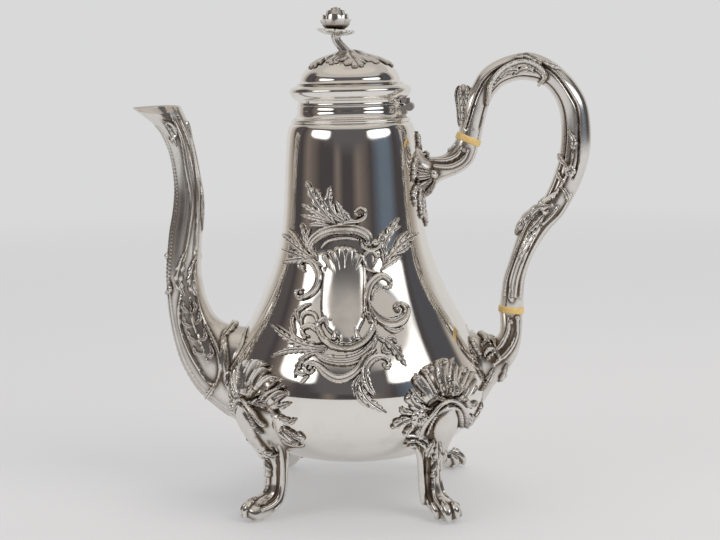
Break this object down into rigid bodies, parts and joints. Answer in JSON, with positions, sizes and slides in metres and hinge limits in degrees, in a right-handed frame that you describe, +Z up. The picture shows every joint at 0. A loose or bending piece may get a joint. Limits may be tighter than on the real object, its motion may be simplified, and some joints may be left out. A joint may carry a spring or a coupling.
{
  "type": "footed silver coffee pot",
  "caption": "Tall pear-shaped coffee pot on scroll feet, with a curved spout, a hinged domed lid with a flower finial, and a scroll handle on insulating rings",
  "frame": {"origin": "on the surface the pot stands on, under the axis of its round body", "axes": "+Z up; the spout points along -X, the handle along +X and the front ornament faces -Y"},
  "size_m": [0.2311, 0.1362, 0.2505],
  "materials": {
    "silver": "polished silver, slightly yellowed",
    "worn_silver": "cast and chased silver, dark in the recesses",
    "ivory": "aged cream, satin"
  },
  "bodies": {
    "pot": {"body_shell": "silver", "neck_collar": "silver", "spout": "silver", "handle_upper_socket": "silver", "handle_lower_socket": "silver", "handle_grip": "silver", "insulator_upper": "ivory", "insulator_lower": "ivory", "handle_cross_pins": "worn_silver", "foot_front_left": "silver", "foot_front_right": "silver", "foot_back_left": "silver", "foot_back_right": "silver", "cartouche_front": "worn_silver", "cartouche_back": "worn_silver", "hinge_body_leaf": "worn_silver", "hinge_pin": "worn_silver"},
    "lid": {"hinge_lid_leaf": "worn_silver", "lid_shell": "silver", "lid_bezel": "silver", "finial_mount": "worn_silver", "finial_stem": "worn_silver", "finial_calyx": "worn_silver", "finial_flower": "worn_silver", "finial_nut": "worn_silver"}
  },
  "joints": [
    {"name": "lid_hinge", "type": "hinge", "parent": "pot", "child": "lid", "pos_m": [0.03, 0, 0.2004], "axis": [0, 1, 0], "range_deg": [0, 85]}
  ]
}
